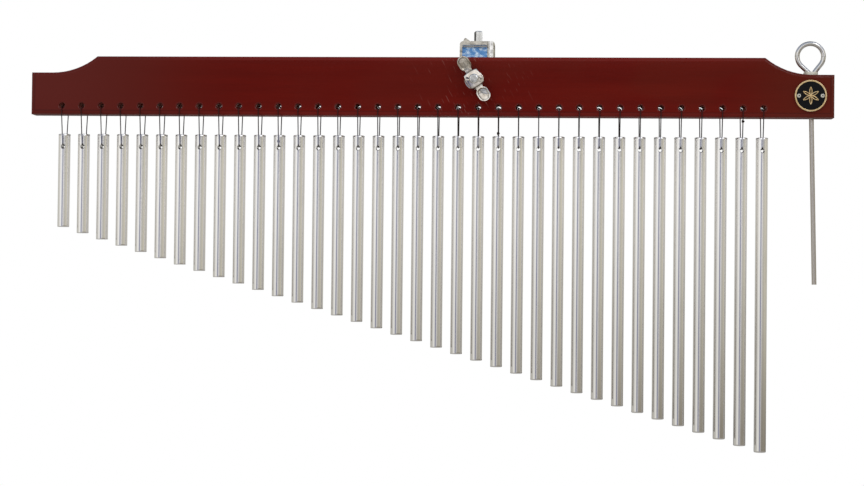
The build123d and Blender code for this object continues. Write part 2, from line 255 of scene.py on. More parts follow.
def knot_points(centre, size):
    """A trefoil about its centre, lying upright."""
    turns = [2 * pi * k / KNOT_STEPS for k in range(KNOT_STEPS)]
    wide = [2 + cos(3 * t) for t in turns]
    return [
        centre + size * Vector((w * cos(2 * t), sin(3 * t), w * sin(2 * t)))
        for w, t in zip(wide, turns)
    ]


def rear_knot(number, x):
    """The knot behind a hole; the list gives how far aside and how high it sits, in millimetres."""
    aside, z = REAR_KNOTS[number % len(REAR_KNOTS)]
    centre = Vector((x + aside * MM + KNOT_DRIFT * x, REAR_KNOT_Y, z * MM))
    return knot_points(centre, REAR_KNOT_SIZE)


def slipped_knot(number):
    """A knot that slid down its loop; the table gives its depth and height in millimetres."""
    y, z = SLIPPED_KNOTS[number]
    return knot_points(Vector((bar_x[number - 1], MID_Y + y * MM, z * MM)), KNOT_SIZE)


print("knots that show:", sorted(SLIPPED_KNOTS))

# %% [markdown]
# The cord is a smooth synthetic with a slight shine. At a millimetre across its lay is only a hint, so a
# fine twist in the bump and a little grey dust in the colour are enough. On the mantle it has taken up
# some red stain, and in front of a bar it gets a painted grey-blue sheen, a painted reflection of the
# bar's light, strongest on the heavy bars.

# %% Cord finish
CORD_BLACK = rgb(0.018, 0.012, 0.011)
CORD_DUSTY = rgb(0.040, 0.030, 0.027)
CORD_RED = rgb(0.048, 0.007, 0.006)
# painted sheen: the cord's colour in front of a bar, standing in for the bar's reflected light
SHEEN_ON_LIGHT_BARS = rgb(0.19, 0.195, 0.26)
SHEEN_ON_HEAVY_BARS = rgb(0.46, 0.47, 0.52)
BAR_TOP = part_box(bar_names[0])[1].z
ON_WOOD = (MANTLE_BOTTOM - 0.3 * MM, MANTLE_BOTTOM + 0.8 * MM)
ON_BAR = (BAR_TOP - 1.0 * MM, BAR_TOP)
ABOVE_BAR_HOLE = (-78.2 * MM, -77.0 * MM)
HEAVY_BARS = (60 * MM, 200 * MM)


def black_cord():
    finish = Finish("black_cord")
    x, _, z = finish.axes(finish.place)
    fibres = finish.noise(finish.place, (2600, 2600, 700), detail=2.0)
    dust = finish.noise(finish.place, (60, 60, 60))
    colour = finish.mix(finish.step(dust, 0.45, 0.75), CORD_BLACK, CORD_DUSTY)
    colour = finish.mix(0.8 * finish.step(z, *ON_WOOD), colour, CORD_RED)
    # painted sheen: the cord between the bar's hole and its top is painted light grey-blue
    on_bar = (1 - finish.step(z, *ON_BAR)) * finish.step(z, *ABOVE_BAR_HOLE)
    painted_sheen_on_bar = finish.mix(finish.step(x, *HEAVY_BARS), SHEEN_ON_LIGHT_BARS, SHEEN_ON_HEAVY_BARS)
    return finish.surface(
        Base_Color=finish.mix(on_bar, colour, painted_sheen_on_bar),
        Roughness=0.42 + 0.2 * fibres,
        Specular_IOR_Level=0.15,
        Normal=finish.bump(fibres, 0.05 * MM, 0.6),
    )


cord = black_cord()
print("cord finish:", len(cord.node_tree.nodes), "nodes")

# %% [markdown]
# All the loops and knots go into one curve object, because they are one kind of piece and all of them
# stay with the mantle. The same two helpers, one for a round wire and one for a smooth line along it, will
# make the beater later. Dressing a piece gives it its finish and ties it to the body that it moves with.

# %% Strung cords
SPLINE_ORDER = 3
CORD_STEPS = 6


def round_curve(name, radius, fineness, capped=True):
    """An empty curve whose lines are drawn as round wire."""
    curve = bpy.data.curves.new(name, "CURVE")
    curve.dimensions = "3D"
    curve.bevel_depth = radius
    curve.bevel_resolution = fineness
    curve.use_fill_caps = capped
    return curve


def add_spline(curve, points, closed, steps):
    """A smooth line that keeps close to its points where they stand close together."""
    spline = curve.splines.new("NURBS")
    spline.points.add(len(points) - 1)
    for point, place in zip(spline.points, points):
        point.co = (*place, 1.0)
    spline.order_u = SPLINE_ORDER
    spline.use_cyclic_u = closed
    spline.use_endpoint_u = not closed
    spline.resolution_u = steps


def dress(piece, node, material):
    """Puts a finish on a piece that stands for a solid, and lets it move with that solid's body."""
    if piece.name not in bpy.context.scene.collection.objects:
        bpy.context.scene.collection.objects.link(piece)
    piece.data.materials.clear()
    piece.data.materials.append(material)
    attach(piece, body_of[node])
    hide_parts(node)
    return piece


cord_curve = round_curve("strung_cords", CORD_DIAMETER / 2, fineness=2, capped=False)
for number, x in enumerate(bar_x, start=1):
    add_spline(cord_curve, loop_points(x), closed=True, steps=CORD_STEPS)
    add_spline(cord_curve, rear_knot(number, x), closed=True, steps=CORD_STEPS)
for number in SLIPPED_KNOTS:
    add_spline(cord_curve, slipped_knot(number), closed=True, steps=CORD_STEPS)
dress(bpy.data.objects.new("strung_cords", cord_curve), "hanging_cords", cord)
print("cords strung:", len(cord_curve.splines), "splines")

# %% [markdown]
# Sharp edges give a computer model away: real metal is tumbled and real wood is sanded before it is
# lacquered. A copy of each solid is welded into one skin, its flat areas are joined up, and the edges
# where two faces meet at a sharp angle are bevelled. Weighted normals keep the flat faces flat.

# %% Easing the edges of a solid
WELD = 0.002 * MM
FLAT = radians(0.6)
SHARP = radians(28)


def skin_of(node):
    """A bmesh copy of a solid, welded and with its flat areas joined."""
    skin = bmesh.new()
    skin.from_mesh(frame["nodes"][node].data)
    bmesh.ops.remove_doubles(skin, verts=skin.verts, dist=WELD)
    bmesh.ops.dissolve_limit(skin, angle_limit=FLAT, verts=skin.verts, edges=skin.edges)
    return skin


def sharp_edges(skin):
    return [edge for edge in skin.edges if edge.is_manifold and edge.calc_face_angle() > SHARP]


def piece_from(skin, name):
    """A smooth-shaded object from a skin, which is used up."""
    mesh = bpy.data.meshes.new(name)
    skin.to_mesh(mesh)
    skin.free()
    if "custom_normal" in mesh.attributes:
        mesh.attributes.remove(mesh.attributes["custom_normal"])
    mesh.shade_smooth()
    mesh.set_sharp_from_angle(angle=SHARP)
    piece = bpy.data.objects.new(name, mesh)
    weighted = piece.modifiers.new("weighted", "WEIGHTED_NORMAL")
    weighted.keep_sharp = True
    return piece


def eased(node, name, material, width, segments=2):
    """A solid with its sharp edges rounded to this width, dressed in its finish."""
    skin = skin_of(node)
    edges = sharp_edges(skin)
    bmesh.ops.bevel(
        skin, geom=edges, offset=width, segments=segments, profile=0.5, affect="EDGES", clamp_overlap=True
    )
    print(name, "edges eased:", len(edges))
    return dress(piece_from(skin, name), node, material)


print("edges count as sharp from", round(SHARP * 180 / pi), "degrees")

# %% [markdown]
# The mantle is a hardwood beam under deep red-brown lacquer. Masks, which are numbers from 0 to 1 worked
# out from the place on the wood, say where it differs: the drill left bare wood in the cord holes and the
# lacquer pools on their rims, fingers and stand rods have left pale scuffs round the wing nut, a faint
# darker line runs just inside the ends and the lower edge, and the long edges get painted light, a lighter
# red where their rounding catches more light.

# %% Masks on the wood
BOLT = pivot_of["mantle"]
PITCH = bar_x[1] - bar_x[0]
HALF_THICK = (mantle_high.y - mantle_low.y) / 2
BARE_DEPTH = (0.8 * MM, 5.0 * MM)
BARE_REACH = (2.6 * MM, 3.4 * MM)
RIM_DEPTH = (0.02 * MM, 0.2 * MM)
RIM_REACH = (3.3 * MM, 3.8 * MM)
SCUFF_REACH = (16 * MM, 60 * MM)
SCUFF_SLANT = radians(28)
EDGE_LINE = 3.3 * MM
EDGE_LINE_SIDE = (0.3 * MM, 0.9 * MM)
# painted light: how far the lighter red reaches in from the upper and lower edges
LIT_EDGE_NEAR = 2.0 * MM
LIT_EDGE_FAR = 4.5 * MM


def distance(across, up):
    return (across * across + up * up).maths("SQRT")


def cord_hole(finish, x, y, z):
    """Two masks: the bare wood inside a cord hole, and its rounded rim where the lacquer pools."""
    along = (x - (bar_x[0] - PITCH / 2)).maths("FLOORED_MODULO", PITCH) - PITCH / 2
    off_axis = distance(along, z - HOLE_Z)
    depth = HALF_THICK - abs(y - MID_Y)
    bare = finish.step(depth, *BARE_DEPTH) * (1 - finish.step(off_axis, *BARE_REACH))
    rim = finish.step(depth, *RIM_DEPTH) * (1 - finish.step(off_axis, *RIM_REACH))
    return bare, rim * (1 - bare)


def scuffs(finish, x, z):
    """Short slanted scratches, thickest round the wing nut."""
    handled = 1 - finish.step(distance(x - BOLT.x, z - BOLT.z), *SCUFF_REACH)
    turn = {"Vector": finish.place, "Angle": SCUFF_SLANT}
    slanted = finish.node("VectorRotate", {"rotation_type": "Y_AXIS"}, turn)
    strokes = finish.noise(slanted, (900, 900, 90), detail=1.0)
    return handled * finish.step(strokes, 0.66, 0.76)


def edge_line(finish, x, z):
    """A faint darker line just inside the rounded ends and lower edge."""
    from_end = (x - mantle_low.x).maths("MINIMUM", mantle_high.x - x)
    inside = from_end.maths("MINIMUM", z - mantle_low.z)
    return 1 - finish.step(abs(inside - EDGE_LINE), *EDGE_LINE_SIDE)


def painted_lit_edges(finish, z):
    """Painted light: the upper and lower edge, lighter where their rounding catches more light."""
    below = 1 - finish.step(z, MANTLE_BOTTOM + LIT_EDGE_NEAR, MANTLE_BOTTOM + LIT_EDGE_FAR)
    above = finish.step(z, mantle_high.z - LIT_EDGE_FAR, mantle_high.z - LIT_EDGE_NEAR)
    return (0.3 * above).maths("MAXIMUM", 0.2 * below)


print("masks for", len(bar_x), "cord holes,", round(PITCH / MM, 2), "mm apart")

# %% [markdown]
# The grain runs along the beam, so the noise is stretched that way. The stain hides most of the figure, so
# the streaks stay faint, and a clear coat gives the gloss. The wood has browned towards the ends and faded
# in patches, and the masks lay the rest over it, each with one Mix: darker line, painted light on the
# edges, scuffs, bare wood.

# %% Lacquered wood
STAIN_STOPS = [
    (0.30, rgb(0.086, 0.0040, 0.0022)),
    (0.50, rgb(0.112, 0.0050, 0.0026)),
    (0.70, rgb(0.140, 0.0068, 0.0033)),
]
BROWN_FROM = 190 * MM
BROWN_TO = 300 * MM
BROWN_LEFT = rgb(0.094, 0.0100, 0.0065)
BROWN_RIGHT = rgb(0.098, 0.0135, 0.0065)
EDGE_LINE_DARK = rgb(0.040, 0.006, 0.005)
# painted light: the lighter red of the rounded upper and lower edges
LIT_EDGE_RED = rgb(0.22, 0.014, 0.009)
SCUFF_PALE = rgb(0.30, 0.13, 0.11)
BARE_WOOD = rgb(0.42, 0.15, 0.105)


def lacquered_wood():
    finish = Finish("lacquered_wood")
    x, y, z = finish.axes(finish.place)
    figure = finish.noise(finish.place, (6, 90, 90), detail=6.0, rough=0.6)
    pores = finish.noise(finish.place, (45, 1500, 1500), detail=2.0)
    cloud = finish.noise(finish.place, (7, 7, 14), detail=2.0)
    tone = 0.5 * figure + 0.2 * pores + 0.3 * cloud
    stain = finish.node("ValToRGB", {"stops": STAIN_STOPS}, {0: tone})
    aged = finish.step(abs(x - BOLT.x), BROWN_FROM, BROWN_TO)
    faded = 0.25 * finish.step(cloud, 0.50, 0.58)
    brown = finish.mix(finish.step(x, -BROWN_FROM, BROWN_FROM), BROWN_LEFT, BROWN_RIGHT)
    scuff = scuffs(finish, x, z)
    bare, rim = cord_hole(finish, x, y, z)
    colour = finish.mix(faded.maths("MAXIMUM", 0.85 * aged), stain, brown)
    colour = finish.mix(0.45 * edge_line(finish, x, z), colour, EDGE_LINE_DARK)
    # painted light on the upper and lower edges
    colour = finish.mix(painted_lit_edges(finish, z) * (1 - aged), colour, LIT_EDGE_RED)
    colour = finish.mix(0.5 * scuff, colour, SCUFF_PALE)
    colour = finish.mix(bare, colour, BARE_WOOD)
    return finish.surface(
        Base_Color=colour,
        Roughness=0.36 + 0.12 * pores + 0.4 * bare,
        Specular_IOR_Level=0.04,
        Coat_Weight=(0.30 - 0.2 * scuff + 0.7 * rim) * (1 - 0.9 * bare),
        Coat_Roughness=0.05,
        Coat_IOR=1.4,
        Normal=finish.bump(figure + 0.4 * pores, 0.04 * MM, 0.4),
    )


lacquer = lacquered_wood()
print("lacquer:", len(lacquer.node_tree.nodes), "nodes")

# %% [markdown]
# The cord holes are drilled after sanding and the lacquer runs into them, so their rims are soft. Only
# those rims are picked out for rounding, because the long edges are already round in the solid.

# %% Mantle
HOLE_RADIUS = 2.3 * MM
RIM_SLACK = 1.05
RIM_ROUND = 1.25 * MM
RIM_SEGMENTS = 4
ON_FACE = 0.01 * MM


def is_cord_rim(edge):
    """True for an edge round the mouth of a cord hole, on the front or the back face."""
    ends = [vertex.co for vertex in edge.verts]
    on_face = all(min(abs(v.y - mantle_low.y), abs(v.y - mantle_high.y)) < ON_FACE for v in ends)
    near = min(range(len(bar_x)), key=lambda i: abs(bar_x[i] - ends[0].x))
    hole = Vector((bar_x[near], HOLE_Z))
    return on_face and all((Vector((v.x, v.z)) - hole).length < RIM_SLACK * HOLE_RADIUS for v in ends)


mantle_skin = skin_of("mantle")
rims = [edge for edge in mantle_skin.edges if is_cord_rim(edge)]
bmesh.ops.bevel(
    mantle_skin, geom=rims, offset=RIM_ROUND, segments=RIM_SEGMENTS, profile=0.5, affect="EDGES",
    clamp_overlap=False,
)
dress(piece_from(mantle_skin, "lacquered_mantle"), "mantle", lacquer)
print("rim edges rounded:", len(rims))

# %% [markdown]
# A bar is cut from drawn and polished aluminium rod, and its ends are broken with a file. It is made as on
# a lathe: a list of radii and places along the axis becomes rings of points with faces between them. A
# ring close to each rounded end keeps the shading of the long sides straight.

# %% Turned shapes
BAR_SIDES = 64
END_ROUND = 0.55 * MM
END_STEPS = 4
END_SUPPORT = 3 * END_ROUND
HOLE_MARGIN = 4.5 * MM
FIRST_BAR = pivot_of[bar_names[0]]
first_low, first_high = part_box(bar_names[0])
BAR_RADIUS = (first_high.x - first_low.x) / 2
bar_bottom = first_low.z - FIRST_BAR.z
bar_top = first_high.z - FIRST_BAR.z


def turned(profile, sides, axis):
    """A closed skin of rings, one for each (radius, place along the axis)."""
    skin = bmesh.new()
    rings = []
    for radius, place in profile:
        ring = []
        for k in range(sides):
            angle = 2 * pi * k / sides
            across = (radius * cos(angle), radius * sin(angle))
            spot = (across[0], across[1], place) if axis == "Z" else (across[0], -place, across[1])
            ring.append(skin.verts.new(spot))
        rings.append(ring)
    for low, high in zip(rings, rings[1:]):
        for k in range(sides):
            skin.faces.new((low[k], low[(k + 1) % sides], high[(k + 1) % sides], high[k]))
    skin.faces.new(list(reversed(rings[0])))
    skin.faces.new(rings[-1])
    return skin


def rounded_end(z, inward):
    """Ring sizes round one end of a bar, from its flat face to its full radius."""
    turns = [pi / 2 * k / END_STEPS for k in range(END_STEPS + 1)]
    return [
        (BAR_RADIUS - END_ROUND + END_ROUND * sin(t), z + inward * END_ROUND * (1 - cos(t))) for t in turns
    ]


bar_profile = [
    *rounded_end(bar_bottom, 1),
    (BAR_RADIUS, bar_bottom + END_SUPPORT),
    (BAR_RADIUS, -HOLE_MARGIN),
    (BAR_RADIUS, HOLE_MARGIN),
    (BAR_RADIUS, bar_top - END_SUPPORT),
    *reversed(rounded_end(bar_top, -1)),
]
print("bar profile:", len(bar_profile), "rings of", BAR_SIDES, "points")

# %% [markdown]
# The cross hole is countersunk so that it doesn't fray the cord. A Boolean drills one bar about its own
# pivot, and because the bars are alike but for their length, the others will only move its lower end.

# %% One drilled bar
BAR_HOLE_RADIUS = 1.7 * MM
COUNTERSINK = 0.5 * MM
drill_profile = [
    (BAR_HOLE_RADIUS + 2 * COUNTERSINK, -BAR_RADIUS - COUNTERSINK),
    (BAR_HOLE_RADIUS, -BAR_RADIUS + COUNTERSINK),
    (BAR_HOLE_RADIUS, BAR_RADIUS - COUNTERSINK),
    (BAR_HOLE_RADIUS + 2 * COUNTERSINK, BAR_RADIUS + COUNTERSINK),
]


def drilled_bar():
    """The first bar's mesh about its own pivot, with the countersunk hole cut through."""
    rod = piece_from(turned(bar_profile, BAR_SIDES, "Z"), "rod")
    drill = piece_from(turned(drill_profile, BAR_SIDES, "Y"), "drill")
    for part in (rod, drill):
        part.modifiers.clear()
        bpy.context.scene.collection.objects.link(part)
    cut = rod.modifiers.new("cut", "BOOLEAN")
    cut.solver = "EXACT"
    cut.object = drill
    cut.operation = "DIFFERENCE"
    graph = bpy.context.evaluated_depsgraph_get()
    mesh = bpy.data.meshes.new_from_object(rod.evaluated_get(graph))
    for part in (rod, drill):
        bpy.data.objects.remove(part)
    return mesh


bar_mesh = drilled_bar()
print("drilled bar:", len(bar_mesh.vertices), "points")

# %% [markdown]
# Polished aluminium is a plain mirror that isn't quite perfect: the die leaves fine lines along the rod,
# and hands leave dull patches. The lines go into the bump and the roughness, stretched along the bar. Lower
# down, a bar's colour is darkened as painted shade, so it is brightest near its top.

# %% Polished bars
BAR_CLEAN = rgb(0.955, 0.945, 0.950)
BAR_BRIGHT = rgb(1.0, 0.985, 0.975)
# painted shade: the darker colour of a bar's lower part
BAR_SHADED_LOW = rgb(0.770, 0.755, 0.735)
ABOVE_SHADED_LOW = (-260 * MM, -80 * MM)


def polished_aluminium():
    finish = Finish("polished_aluminium")
    die_lines = finish.noise(finish.place, (3000, 3000, 9), detail=2.0)
    dull = finish.noise(finish.place, (55, 55, 22), detail=4.0, rough=0.6)
    batch = finish.noise(finish.place, (43, 5, 2), detail=1.0)
    clean = finish.mix(finish.step(batch, 0.35, 0.65), BAR_CLEAN, BAR_BRIGHT)
    # painted shade: darker below the cord, full below the lowest mark
    painted_shade_low = 1 - finish.step(finish.axes(finish.place)[2], *ABOVE_SHADED_LOW)
    return finish.surface(
        Base_Color=finish.mix(painted_shade_low, clean, BAR_SHADED_LOW),
        Metallic=1.0,
        Roughness=0.08 + 0.08 * finish.step(dull, 0.42, 0.75) + 0.03 * die_lines,
        Normal=finish.bump(die_lines, 0.004 * MM, 0.5),
    )


def bar_piece(name, material):
    """The drilled bar moved to its place, with its lower end drawn out to this bar's length."""
    pivot = pivot_of[name]
    longer = (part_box(name)[0].z - pivot.z) - bar_bottom
    mesh = bar_mesh.copy()
    for vertex in mesh.vertices:
        if vertex.co.z < -HOLE_MARGIN - END_ROUND:
            vertex.co.z += longer
        vertex.co += pivot
    mesh.shade_smooth()
    mesh.set_sharp_from_angle(angle=SHARP)
    return dress(bpy.data.objects.new(f"polished_{name}", mesh), name, material)


aluminium = polished_aluminium()
bars = [bar_piece(name, aluminium) for name in bar_names]
print("bars hung:", len(bars))

# %% [markdown]
# The clamp, the washer and the wing nut are die castings under bright plating. The skin of a casting is
# never flat, so its reflections swim: a broad, shallow bump does that, and a finer one gives the orange
# peel. One class holds what all three share, and each piece adds its own relief and marks: painted shade
# with dark streaks, a painted sky reflection or a painted highlight.

# %% Plating over a casting
# painted shade, also used for the dark streaks on the wings
SHADE_AND_STREAK_DARK = rgb(0.05, 0.04, 0.03)
# painted highlight: near-white colour for the round column
PAINTED_HIGHLIGHT = rgb(0.94, 0.92, 0.89)
# painted reflection: the blues of a sky seen in the clamp's pocket
SKY_REFLECTION_DEEP = rgb(0.13, 0.31, 0.62)
SKY_REFLECTION_PALE = rgb(0.70, 0.86, 1.0)


class Casting(Finish):
    """Bright plating over a rippled casting. Masks may add painted shade and streaks, painted sky, a painted
    highlight and relief.
    """

    def __init__(self, name, ripples):
        super().__init__(name)
        self.swell = self.noise(self.place, (ripples, ripples, ripples), detail=1.0)
        self.peel = self.noise(self.place, (1500, 1500, 1500), detail=2.0)
        self.smear = self.noise(self.place, (140, 140, 140), detail=4.0)

    def plated(self, tint, bright, ripple, dull, shade_and_streaks=0.0, painted_sky=0.0, relief=0.0, painted_highlight=0.0):
        colour = self.mix(self.step(self.smear, 0.35, 0.65), tint, bright)
        # painted highlight: the mask turns the colour near-white
        colour = self.mix(painted_highlight, colour, PAINTED_HIGHLIGHT)
        # painted shade and dark streaks darken the colour here
        colour = self.mix(0.8 * shade_and_streaks, colour, SHADE_AND_STREAK_DARK)
        # painted reflection: a mottled blue sky, laid where the mask says
        stain = self.noise(self.place, (270, 270, 420), detail=3.0)
        painted_sky_colour = self.mix(self.step(stain, 0.42, 0.72), SKY_REFLECTION_DEEP, SKY_REFLECTION_PALE)
        return self.surface(
            Base_Color=self.mix(painted_sky, colour, painted_sky_colour),
            Metallic=1.0,
            Roughness=dull + 0.08 * self.step(self.smear, 0.45, 0.7) + 0.1 * painted_sky,
            Normal=self.bump(self.swell + 0.015 * self.peel + relief, ripple, 0.8),
        )


print("plating ready")

# %% [markdown]
# The clamp stands behind the mantle with an open pocket towards it. The pocket's floor is coloured a
# mottled blue and white, a painted reflection of blue sky, and the column on the pocket's right is round,
# with a painted highlight down it. A box of soft steps marks the pocket, and a parabola across the column
# tells the bump that it is round.

# %% Clamp
CLAMP_GREY = rgb(0.52, 0.48, 0.41)
CLAMP_BRIGHT = rgb(0.66, 0.62, 0.54)
clamp_low, clamp_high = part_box("clamp_body")
POCKET_WALL = 1.0 * MM
POCKET_LEFT = clamp_low.x + 2.2 * MM
POCKET_RIGHT = clamp_high.x - 6.4 * MM
POCKET_TOP = 9.8 * MM
BEHIND_MANTLE = (mantle_high.y + POCKET_WALL, mantle_high.y + 3 * POCKET_WALL)
POCKET_FLOOR = (mantle_high.y + 9.5 * MM, mantle_high.y + 10 * MM)
COLUMN_HALF = 3.2 * MM
COLUMN_X = clamp_high.x - COLUMN_HALF
COLUMN_BACK = (mantle_high.y + 1 * MM, mantle_high.y + 2 * MM)
COLUMN_RELIEF = 20.0


def clamp_finish():
    finish = Casting("plated_casting", ripples=200)
    x, y, z = finish.axes(finish.place)
    right_of = finish.step(x, POCKET_LEFT - POCKET_WALL, POCKET_LEFT)
    left_of = 1 - finish.step(x, POCKET_RIGHT, POCKET_RIGHT + POCKET_WALL)
    behind = finish.step(y, *BEHIND_MANTLE)
    before = 1 - finish.step(y, *POCKET_FLOOR)
    below = 1 - finish.step(z, POCKET_TOP - POCKET_WALL, POCKET_TOP)
    off = (x - COLUMN_X) * (1 / COLUMN_HALF)
    column = (1 - off * off).maths("MAXIMUM", 0.0) * (1 - finish.step(y, *COLUMN_BACK))
    return finish.plated(
        tint=CLAMP_GREY,
        bright=CLAMP_BRIGHT,
        ripple=0.10 * MM,
        dull=0.13,
        # painted reflection of blue sky on the pocket's floor
        painted_sky=right_of * left_of * behind * before * below,
        relief=COLUMN_RELIEF * column,
        # painted highlight down the middle of the column
        painted_highlight=finish.step(column, 0.05, 0.35),
    )


eased("clamp_body", "plated_clamp", clamp_finish(), width=0.5 * MM, segments=3)

# %% [markdown]
# The wing nut is cast as a hub with a dished lobe on each of two wings, and is handled more than any
# other piece. Painted shade darkens the rims of the dishes and the creases beside the hub, in patches,
# and darker streaks run along the wings. Sizes along and across the wings place it, and low domes in the
# bump keep the faces from looking flat.

# %% Wing nut and washer
TRIM_GREY = rgb(0.54, 0.48, 0.41)
TRIM_BRIGHT = rgb(0.84, 0.79, 0.72)
WING_TURN = radians(57)
LOBE_AT = 16.1 * MM
LOBE_STRETCH = 0.85
DISH_INSIDE = (2.4 * MM, 3.2 * MM)
DISH_OUTSIDE = (3.4 * MM, 4.3 * MM)
WING_RADIUS = 5.5 * MM
WING_DOME = 2.5
HUB_EDGE = 7.4 * MM
HUB_CREASE = (0.2 * MM, 1.4 * MM)
ON_WING = (HUB_EDGE, HUB_EDGE + 2 * MM)
HUB_RADIUS = 9.5 * MM
HUB_DOME = 4.5


def dome(away_squared, radius):
    """A low dome of height 1, from the square of the distance to its middle."""
    return (1 - away_squared * (1 / radius ** 2)).maths("MAXIMUM", 0.0)


def trim_finish():
    finish = Casting("plated_trim", ripples=330)
    x, _, z = finish.axes(finish.place)
    right = x - BOLT.x
    up = z - BOLT.z
    along = abs(cos(WING_TURN) * right - sin(WING_TURN) * up)
    across = sin(WING_TURN) * right + cos(WING_TURN) * up
    off_lobe = distance(LOBE_STRETCH * (along - LOBE_AT), across)
    dish = finish.step(off_lobe, *DISH_INSIDE) * (1 - finish.step(off_lobe, *DISH_OUTSIDE))
    crease = 1 - finish.step(abs(along - HUB_EDGE), *HUB_CREASE)
    lengthwise = finish.node("CombineXYZ", sockets={0: along, 1: across, 2: 0.0})
    streaks = finish.step(finish.noise(lengthwise, (110, 800, 1), detail=2.0), 0.54, 0.64)
    on_wing = finish.step(along, *ON_WING)
    patchy = finish.step(finish.peel, 0.30, 0.55)
    # painted shade round the dishes and in the creases beside the hub
    shade_and_streaks = (0.5 * dish).maths("MAXIMUM", crease) * patchy
    hub = HUB_DOME * dome(along * along + across * across, HUB_RADIUS)
    wing = WING_DOME * dome(off_lobe * off_lobe, WING_RADIUS)
    return finish.plated(
        tint=TRIM_GREY,
        bright=TRIM_BRIGHT,
        ripple=0.18 * MM,
        dull=0.09,
        shade_and_streaks=shade_and_streaks.maths("MAXIMUM", 0.6 * streaks * on_wing),
        relief=hub + wing,
    )


trim = trim_finish()
eased("clamp_washer", "plated_washer", trim, width=0.25 * MM)
eased("wing_nut", "plated_wing_nut", trim, width=0.55 * MM, segments=3)

# %% [markdown]
# The clamp's bolt and the key bolt are plain steel under dull zinc. Zinc dries in small grey spangles, so
# its colour and its roughness wander together.

# %% Zinc bolts
ZINC_DARK = rgb(0.66, 0.65, 0.62)
ZINC_LIGHT = rgb(0.86, 0.85, 0.82)


def zinc_steel():
    finish = Finish("zinc_steel")
    spangle = finish.noise(finish.place, (420, 420, 420), detail=3.0)
    turning = finish.noise(finish.place, (250, 2600, 2600), detail=1.0)
    return finish.surface(
        Base_Color=finish.mix(finish.step(spangle, 0.35, 0.65), ZINC_DARK, ZINC_LIGHT),
        Metallic=1.0,
        Roughness=0.09 + 0.09 * spangle,
        Normal=finish.bump(turning + spangle, 0.003 * MM, 0.5),
    )


zinc = zinc_steel()
eased("clamp_bolt", "zinc_clamp_bolt", zinc, width=0.3 * MM)
eased("key_bolt", "zinc_key_bolt", zinc, width=1.2 * MM, segments=4)

# %% [markdown]
# The beater is one length of spring wire: the rod comes up through the ferrule, bends aside, goes round
# in a ring and comes back to lie against itself. A curve with a round bevel follows the wire as the
# bender would. The wire leans a little in its bore, and below the ring it has lost its shine.

# %% Bent beater
BEATER_INSET = 18.1 * MM
BEATER_LEAN = radians(1.3)
LEAN_Z = -35.0 * MM
WIRE_RADIUS = 2.0 * MM
WIRE_STEPS = 8
RING_RADIUS = 10.9 * MM
RING_Z = -0.962 * MM
RING_STEPS = 28
LEG_ANGLE = radians(46)
LEG_JOIN_Z = -16.115 * MM
BEND_BELOW = 2 * MM
STRAIGHT_BELOW = 20 * MM
WIRE_END = 1.2 * MM
WIRE_GREY = rgb(0.60, 0.58, 0.55)
WIRE_BRIGHT = rgb(0.74, 0.72, 0.70)
ROD_DULL = rgb(0.46, 0.41, 0.36)

lean = (
    Matrix.Translation((mantle_high.x - BEATER_INSET, MID_Y, LEAN_Z))
    @ Matrix.Rotation(-BEATER_LEAN, 4, "Y")
    @ Matrix.Translation((0, 0, -LEAN_Z))
)
beater_tip = LEAN_Z + (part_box("beater")[0].z - LEAN_Z) / cos(BEATER_LEAN)
ring_angles = [-LEG_ANGLE + (pi + 2 * LEG_ANGLE) * k / RING_STEPS for k in range(RING_STEPS + 1)]
wire_route = [
    (0, beater_tip),
    (0, LEG_JOIN_Z - STRAIGHT_BELOW),
    (0, LEG_JOIN_Z - BEND_BELOW),
    *((RING_RADIUS * cos(a), RING_Z + RING_RADIUS * sin(a)) for a in ring_angles),
    (-WIRE_END, LEG_JOIN_Z + WIRE_END),
]


def spring_wire():
    finish = Finish("spring_wire")
    drawn = finish.noise(finish.place, (1800, 1800, 14), detail=2.0)
    worn = finish.noise(finish.place, (90, 90, 40), detail=3.0)
    below = 1 - finish.step(finish.axes(finish.place)[2], MANTLE_BOTTOM, mantle_high.z)
    colour = finish.mix(worn, WIRE_GREY, WIRE_BRIGHT)
    return finish.surface(
        Base_Color=finish.mix(0.6 * below, colour, ROD_DULL),
        Metallic=1.0,
        Roughness=0.10 + 0.22 * below + 0.08 * worn,
        Normal=finish.bump(drawn, 0.01 * MM, 0.5),
    )


wire_curve = round_curve("bent_beater", WIRE_RADIUS, fineness=6)
wire_points = [lean @ Vector((x, 0, z)) for x, z in wire_route]
add_spline(wire_curve, wire_points, closed=False, steps=WIRE_STEPS)
dress(bpy.data.objects.new("bent_beater", wire_curve), "beater", spring_wire())
print("beater wire:", len(wire_route), "points")

# %% [markdown]
# The beater's seat is a turned ferrule of pale steel let into the mantle, and the badge's two pins are of
# the same steel, with a dimple in each head. The tool leaves fine rings, so the noise in the bump is
# squeezed along the ferrule's axis. A dimple a millimetre wide gets its shade painted as a dark spot.

# %% Pale steel ferrule
PIN_OFFSET = 9.7 * MM
PIN_DIMPLE = (0.5 * MM, 0.75 * MM)
STEEL_DULL = rgb(0.62, 0.60, 0.52)
STEEL_PALE = rgb(0.76, 0.74, 0.65)
# painted shade: the colour of the dimple in each pin head
DIMPLE_SHADE = rgb(0.03, 0.025, 0.02)
plate_low, plate_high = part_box("badge_plate")
badge_centre = (plate_low + plate_high) / 2


